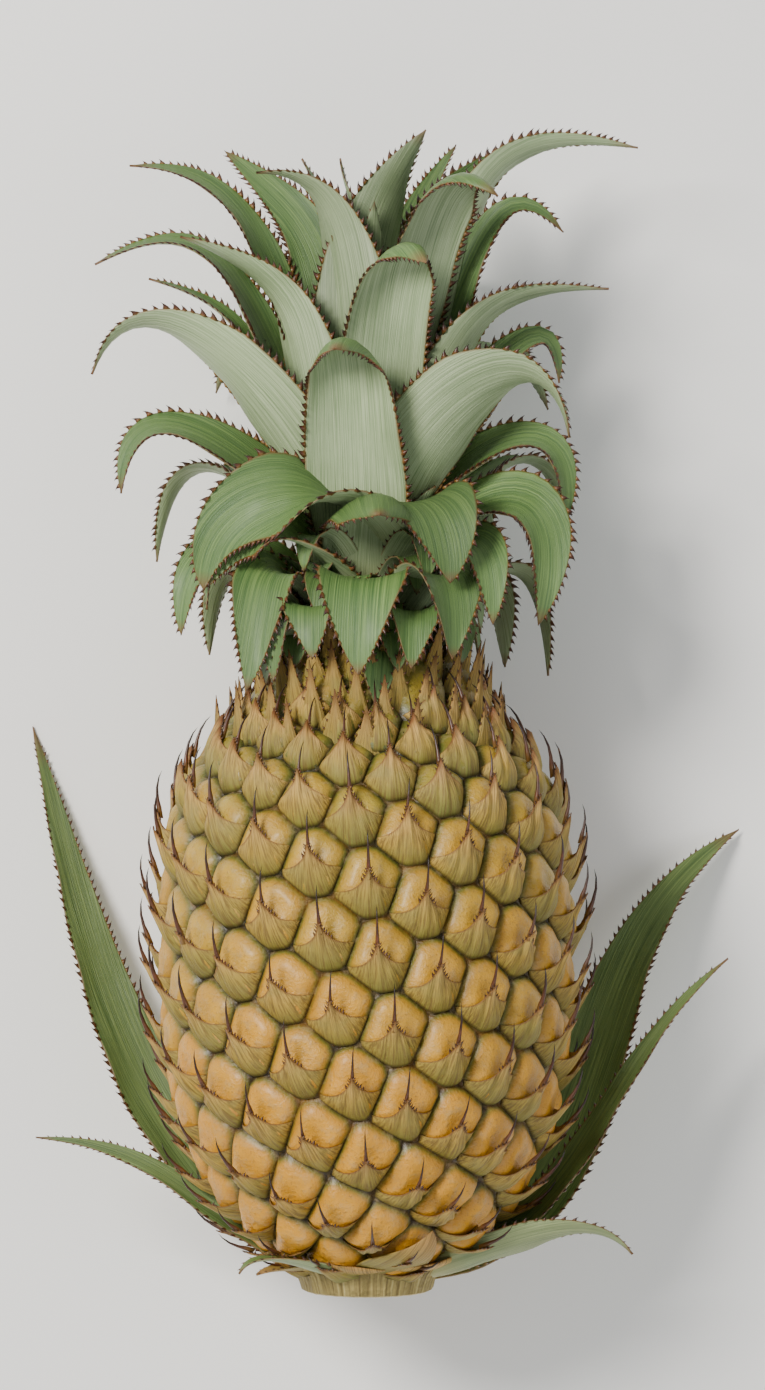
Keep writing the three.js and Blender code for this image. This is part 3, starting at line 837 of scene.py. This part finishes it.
def scale_place(eye, s, t, spans):
    """A place on an eye's scale leaf in the eye's mm: s across it, t from foot to free edge."""
    def on_groove(s):
        angle, limit = spans[s]
        return Vector((math.cos(angle), math.sin(angle))) * limit * 0.985

    foot, end = on_groove(s), on_groove(-1 if s < 0 else 1)
    tx, ty, _ = eye.tip()
    k = abs(s)
    free = Vector((blend(tx, end.x, k ** 1.25),
                   end.y + (ty - end.y) * (1 - k) ** blend(2.9, 1.7, eye.top)))
    p = foot.lerp(free, t)
    q = eye.reach_at(p.x, p.y)
    keel = (blend(2.9, 3.2, eye.top) * math.exp(-(s / 0.12) ** 2)
            + 2.3 * math.exp(-(s / 0.42) ** 2)) * t ** 1.5
    folds = sum(high * math.exp(-((s - at) / wide) ** 2) for high, at, wide in SCALE_FOLDS)
    keel += folds * math.sin(math.pi * min(t, 0.92) ** 0.8)
    stand = 0.3 + 0.75 * t ** 3 * (1 - k ** 3)
    return Vector((p.x, p.y, eye.swell(q) + (keel + stand) * eye.size * eye.pressed)), q


def scale_teeth(eye, edge):
    """Seats of the prickles on a scale leaf's free edge, closest towards the spine."""
    seats = []
    for side, places in ((-1, TEETH_LEFT), (1, TEETH_RIGHT)):
        for s in places:
            lo = max(v for v in SCALE_ACROSS if v <= side * s)
            hi = min(v for v in SCALE_ACROSS if v >= side * s)
            f = (side * s - lo) / (hi - lo) if hi > lo else 0
            p = edge[lo].lerp(edge[hi], f)
            d = (edge[hi] - edge[lo]) * -side
            run = (eye.side * d.x + eye.run * d.y + eye.normal * d.z).normalized()
            out = squared(eye.side * side * 0.7 + eye.run + eye.normal * 0.25, run)
            grow = TOOTH * eye.size
            seats.append((eye.lift(p.x, p.y, p.z - 0.15), axes(run, out, run.cross(out)),
                          (grow * 0.8, grow, grow * 0.8), eye.ripe))
    return seats


def eye_scale_leaves(eyes):
    """The scale leaf over each eye's lower half, its folds fanning down from a raised point."""
    verts, faces, uv, values, seats = [], [], [], {}, []
    for number, eye in enumerate(eyes):
        first = len(verts)
        spans = {}
        for s in SCALE_ACROSS:
            angle = math.radians(-88 + (75 + 12 * eye.top - 8 * eye.foot) * s)
            spans[s] = (angle, eye.groove(angle))
        grid = {(s, t): scale_place(eye, s, t, spans) for t in SCALE_UP for s in SCALE_ACROSS}
        for under in (0, 1):
            for (s, t), (p, q) in grid.items():
                drop = under * (0.75 - 0.4 * t)
                verts.append(row_place(eye.lift(p.x, p.y, p.z - drop)))
                uv.append((s * 0.9 + number * 1.37, t + number * 0.71))
                # crest falls to 0 at the groove, where the finish paints shade.
                note(values, along=clamp01((p.y + 12 * eye.size) / (24 * eye.size)), edge=t,
                     crest=clamp01(1 - q ** 4), tint=eye.ripe)
        faces += sheet_faces(len(SCALE_UP), len(SCALE_ACROSS), first)
        seats += scale_teeth(eye, {s: grid[s, 1][0] for s in SCALE_ACROSS})
    mesh = new_mesh("fruit_scale_leaves", verts, faces, values, uv)
    return new_piece("fruit_scale_leaves", mesh, SCALE_LEAF), seats


def spine_shape():
    """A scale leaf's spine, 10 mm long: it leaves the keel outwards and curves in to a point."""
    verts, along = [], []
    rings, sides = ((-0.28, 0.95), (0.0, 0.78), (0.22, 0.52), (0.5, 0.36), (0.78, 0.2)), 6
    for u, wide in rings:
        z = 2.3 * (1 - (1 - u) ** 2) - 1.1 * u ** 3 if u > 0 else 3.4 * u
        for j in range(sides):
            a = 2 * math.pi * j / sides
            verts.append(Vector((math.cos(a) * wide * 0.85, 10 * u, z + math.sin(a) * wide)) * MM)
            along.append(clamp01(0.25 + u))
    verts.append(Vector((0.15, 10, 1.2)) * MM)
    along.append(1.0)
    return new_mesh("eye_spine", verts, spike_faces(sides, len(rings)), {"along": along})


# ---------------- the collar
COLLAR_COUNT = 92
COLLAR_LOW, COLLAR_RISE = 167, 0.35
COLLAR_TURN = 137.508       # turn from one scale to the next, degrees
COLLAR_TEETH = (0.3, 0.42, 0.54, 0.66, 0.78, 0.88)


def collar_half(t):
    """Half a collar scale's width, t of the way up it."""
    return max(5.4 * (1 - t) ** 0.95 * (0.8 + 0.35 * math.sin(math.pi * min(t * 1.5, 1))), 0.12)


def collar_up(t):
    return -3 + 27 * t


def collar_scale_shape():
    """One narrow pointed scale of the collar, channelled up its middle."""
    verts, uv, values = [], [], {}
    rows, cols = 9, (-1, -0.7, -0.35, 0, 0.35, 0.7, 1)
    for under in (0, 1):
        for i in range(rows):
            t = i / (rows - 1)
            thick = 0.5 - 0.36 * t
            for s in cols:
                keel = (1.6 * (1 - abs(s)) + 0.5 * math.cos(s * 9)) * (1 - t ** 2)
                lift = 1.5 + 3.2 * t ** 1.8 + keel
                verts.append(Vector((s * collar_half(t), collar_up(t), lift - under * thick)) * MM)
                uv.append((s * 0.7, t))
                note(values, along=0.1 + 0.75 * t ** 1.3, edge=abs(s) ** 2 * 0.93,
                     crest=min(1.0, 0.3 + t * 2), tint=0.5)
    return new_mesh("collar_scale", verts, sheet_faces(rows, len(cols)), values, uv)


def build_collar():
    """Upright narrow scales under the crown, wound close together, with prickly edges."""
    dice = random.Random(8)
    collar, edges = [], []
    for k in range(COLLAR_COUNT):
        h = COLLAR_LOW + k * COLLAR_RISE
        r, _ = rim_at(h)
        out = outward(k * COLLAR_TURN)
        lean = math.radians(blend(-8, 9, k / COLLAR_COUNT) + dice.uniform(-3, 4))
        run = UP * math.cos(lean) + out * math.sin(lean)
        normal = out * math.cos(lean) - UP * math.sin(lean)
        turn = axes(run.cross(normal), run, normal)
        wide, tall = dice.uniform(0.9, 1.15), dice.uniform(0.72, 0.98)
        at = out * (r - 1.5) + UP * (FRUIT_BASE + h - 4)
        collar.append((at, turn, (wide, tall, 1.0), dice.random()))
        for side in (-1, 1):
            for t in COLLAR_TEETH:
                here = turn @ Vector((side * collar_half(t) * wide, collar_up(t) * tall,
                                      1.4 + 3.2 * t ** 1.8))
                up = turn @ Vector((-side * 0.25, 1, 0.2)).normalized()
                off = squared(turn @ Vector((side, 0, 0)), up)
                edges.append((at + here, axes(up, off, up.cross(off)), (1.2, 1.2, 1.2), 0.5))
    hand_over(scatter("collar_scales", collar, collar_scale_shape(), SCALE_LEAF,
                      (0.97, 1.03), 9), "fruit")
    hand_over(scatter("collar_prickles", edges, prickle_shape(), PRICKLE, (0.8, 1.1), 6), "fruit")


def fruit_body():
    """The closed body under the eyes, so that no gap shows between them; where it shows it is dark
    brown, painted shade in the gaps.
    """
    verts, uv = [], []
    sides, rows = 72, 60
    for i in range(rows + 1):
        h = FRUIT_TALL * i / rows
        r = rim_at(h)[0] - 0.8
        for j in range(sides):
            verts.append(row_place(outward(360 * j / sides) * r + UP * (FRUIT_BASE + h)))
            uv.append((6 * j / sides, h / 40))
    # Painted shade: crest 0 gives the body the scale-leaf finish's dark brown, so it reads as
    # shadow between the eyes.
    gap_shade = {"crest": 0.0, "tint": 0.3, "along": 0.3, "edge": 0.0}
    values = {name: [value] * len(verts) for name, value in gap_shade.items()}
    mesh = new_mesh("fruit_body", verts, drum_faces(sides, rows), values, uv)
    return new_piece("fruit_body", mesh, SCALE_LEAF)


def build_fruit():
    seats = eye_seats()
    eyes = [Eye(seat, seats) for seat in seats]
    hand_over(fruit_body(), "fruit", "fruit")
    hand_over(eye_cheeks(eyes), "fruit")
    scales, teeth = eye_scale_leaves(eyes)
    hand_over(scales, "fruit")
    hand_over(scatter("fruit_edge_prickles", teeth, prickle_shape(), PRICKLE, (0.8, 1.1), 4),
              "fruit")
    spines = []
    for eye in eyes:
        x, y, z = eye.tip()
        grow = eye.size * blend(1.12, 1.35, eye.top) * (0.9 + 0.3 * eye.ripe)
        lean = Matrix.Rotation(math.radians(10 * (eye.ripe - 0.5)), 3, "Z")
        turn = axes(eye.side, eye.run, eye.normal) @ lean
        spines.append((eye.lift(x, y - 0.4, z - 0.75), turn, (grow * 0.9, grow, grow), eye.ripe))
    hand_over(scatter("fruit_spines", spines, spine_shape(), PRICKLE, (0.95, 1.05), 5), "fruit")


# ---------------- stalk
def build_stalk():
    """The short cut stalk: ribbed skin, ragged rim and a flat fibrous cut."""
    verts, uv, face = [], [], []
    sides, cut_rings = 96, 4
    rings = [(0.0, 0.4), (0.0, 9), (0.0, 16), (0.05, 20), (0.6, 21.2), (3, 21.8), (6, 23),
             (9.6, 25.5), (12, 24)]
    for i, (y, r) in enumerate(rings):
        for j in range(sides):
            out = outward(360 * j / sides)
            rough = noise.noise(Vector((out.x * 9, out.z * 9, y * 0.12)))
            k = 1 + (0.035 * rough if i >= cut_rings - 1 else 0)
            ragged = 0.25 * rough if i == cut_rings else 0
            verts.append(row_place(out * r * k + UP * (y + ragged)))
            uv.append((j / sides * 2, y / 40))
            face.append(1.0 if i < cut_rings else 0.0)
    mesh = new_mesh("cut_stalk", verts, drum_faces(sides, len(rings) - 1), {"face": face}, uv)
    hand_over(new_piece("cut_stalk", mesh, STALK), "stem", "cut_stem")


STALK_OUT = 20              # how far off the axis the stalk's own leaves grow


def foot_bracts():
    """Torn, drying remains of the stalk's last leaves, pressed up over the lowest eyes."""
    bracts = [Leaf("fan_bract", 13, 25, 7.8, 49.5, 24.5, 72, 26, 23, 20, 0, 0, 0.45, 0.4)]
    dice = random.Random(12)
    for k, az in enumerate((-18, 48, 88, 130, 172, 214, 256, 298)):
        tall = dice.uniform(2.6, 4.4)
        bracts.append(Leaf(
            f"foot_bract_{k}", az, az + dice.uniform(-8, 8), 7.6, 26 + tall * 1.9, 8.2 + tall,
            78, dice.uniform(50, 62), dice.uniform(27, 32), 24, 0, dice.uniform(-6, 6), 0.4, 0.4))
    return bracts


def build_foot_bracts():
    torn = [Leaf("sheath_flap_left", -58, -60, 8.5, 41, 7.5, 92, 104, 19, 22, 0, 10, 0.4, 0.4),
            Leaf("sheath_flap_back", 150, 158, 8.5, 38, 6.5, 90, 108, 18, 22, 0, 0, 0.4, 0.4)]
    hand_over(leaf_blade(foot_bracts() + torn, "foot_bracts", SCALE_LEAF, STALK_OUT,
                         count=14, dry=0.68), "stem")
    hand_over(edge_prickles(torn, "foot_bract_prickles", STALK_OUT, pitch=2.6, length=1.6), "stem")


def build_stalk_leaves():
    leaves = STALK_LEAVES + EXTRA_STALK_LEAVES
    nodes = [leaf.name for leaf in STALK_LEAVES]
    hand_over(leaf_blade(leaves, "stalk_leaves", STALK_LEAF, STALK_OUT, count=40),
              "stalk_leaf", *nodes)
    hand_over(edge_prickles(leaves, "stalk_leaf_prickles", STALK_OUT, pitch=3.4, length=2.2),
              "stalk_leaf")


# ---------------- crown
CROWN_TURN = 137.5          # turn from one small leaf to the next, degrees


def heart_leaves():
    """Small upright leaves that fill the middle of the crown, wound on from the outer ones."""
    leaves = []
    dice = random.Random(31)
    for k in range(15):
        az = k * CROWN_TURN + 20
        y = 262 + k * 3.6
        tall = dice.uniform(44, 60) * (1 - 0.02 * k)
        leaves.append(Leaf(
            f"heart_{k}", az, az + dice.uniform(-8, 8), y, 9 + dice.uniform(0, 9),
            min(y + tall, 368), 4, 22, dice.uniform(13, 17), 52, 0, 0, 0.4, 0.35))
    return leaves


def frill_leaves():
    """Small leaves at the crown's foot, bent over and pointing down at the collar."""
    leaves = []
    dice = random.Random(63)
    for k in range(40):
        az = k * CROWN_TURN + 11
        y = 200 + (k % 10) * 3.4
        reach = core_radius(y) + dice.uniform(17, 29)
        leaves.append(Leaf(
            f"frill_low_{k}", az, az + dice.uniform(-14, 14), y, reach, y - dice.uniform(-4, 12),
            46, 176, dice.uniform(13, 21), 38, 0, dice.uniform(-20, 20), 0.85, 0.8))
    return leaves


def sheath_leaves():
    """Short clasping leaf feet that pack the stump between the big leaves."""
    leaves = []
    dice = random.Random(44)
    for k in range(30):
        az = k * CROWN_TURN + 66
        y = 196 + k * 2.6
        leaves.append(Leaf(
            f"sheath_{k}", az, az, y, core_radius(y) + dice.uniform(9, 16),
            y + dice.uniform(26, 34), 12, 40, dice.uniform(20, 25), 55, 0, 0, 0.4, 0.35))
    return leaves


def crown_group(name):
    """Which side of the crown a leaf is handed over with."""
    if "front" in name or "hood_" in name or "bow" in name:
        return "front"
    return name.split("_")[1]


def build_crown():
    for side in ("front", "left", "right", "top", "back"):
        leaves = [leaf for leaf in CROWN if crown_group(leaf.name) == side]
        nodes = [leaf.name for leaf in leaves]
        hand_over(leaf_blade(leaves, f"crown_{side}_leaves", CROWN_LEAF), "crown_leaf", *nodes)
        hand_over(edge_prickles(leaves, f"crown_{side}_prickles"), "crown_leaf")
    heart = heart_leaves() + sheath_leaves() + frill_leaves()
    hand_over(leaf_blade(heart, "crown_heart_leaves", CROWN_LEAF, count=14), "crown_leaf",
              "crown_heart")
    hand_over(edge_prickles(heart, "crown_heart_prickles", length=1.7), "crown_leaf")


# ---------------- studio
def area_light(name, place, size, power, colour):
    aim = Vector((0, 0, 0.05))
    data = bpy.data.lights.new(name, "AREA")
    data.shape, data.size, data.energy, data.color = "DISK", size, power, colour
    lamp = bpy.data.objects.new(name, data)
    lamp.location = place
    lamp.rotation_euler = (aim - Vector(place)).to_track_quat("-Z", "Y").to_euler()
    bpy.context.scene.collection.objects.link(lamp)


def build_studio():
    """A pale matt floor, one warm lamp from the upper left and two weak ones."""
    made, tree = new_finish("pale_floor")
    surface(tree, {"Base Color": linear(0xFAF9F5), "Roughness": 0.9})
    wide = 4.0
    corners = [(-wide, -wide, 0), (wide, -wide, 0), (wide, wide, 0), (-wide, wide, 0)]
    floor = new_piece("floor", new_mesh("floor", corners, [(0, 1, 2, 3)]), made)
    area_light("key", (-0.75, 0.55, 1.25), 0.5, 31, (1.0, 0.97, 0.93))
    area_light("fill", (0.9, -0.3, 1.1), 0.9, 4.5, (0.93, 0.96, 1.0))
    area_light("low", (-0.2, -1.0, 0.7), 0.7, 3.4, (1.0, 0.98, 0.96))
    world = bpy.data.worlds.new("studio")
    world.use_nodes = True
    sky = world.node_tree.nodes["Background"].inputs
    sky["Color"].default_value = (0.95, 0.97, 1.0, 1)
    sky["Strength"].default_value = 0.42
    bpy.context.scene.world = world


def build_camera():
    """Straight down on the lying plant, crown away from the viewer."""
    lens, sensor, view_tall = 120, 36, 0.4526
    data = bpy.data.cameras.new("camera")
    data.lens, data.sensor_width = lens, sensor
    camera = bpy.data.objects.new("camera", data)
    camera.location = (AXIS_X + 0.00505, CUT_Y + 0.1937, AXIS_Z + view_tall * lens / sensor)
    bpy.context.scene.collection.objects.link(camera)
    bpy.context.scene.camera = camera


build_camera()
build_fruit()
build_collar()
build_stalk()
build_foot_bracts()
build_crown()
build_stalk_leaves()
build_studio()
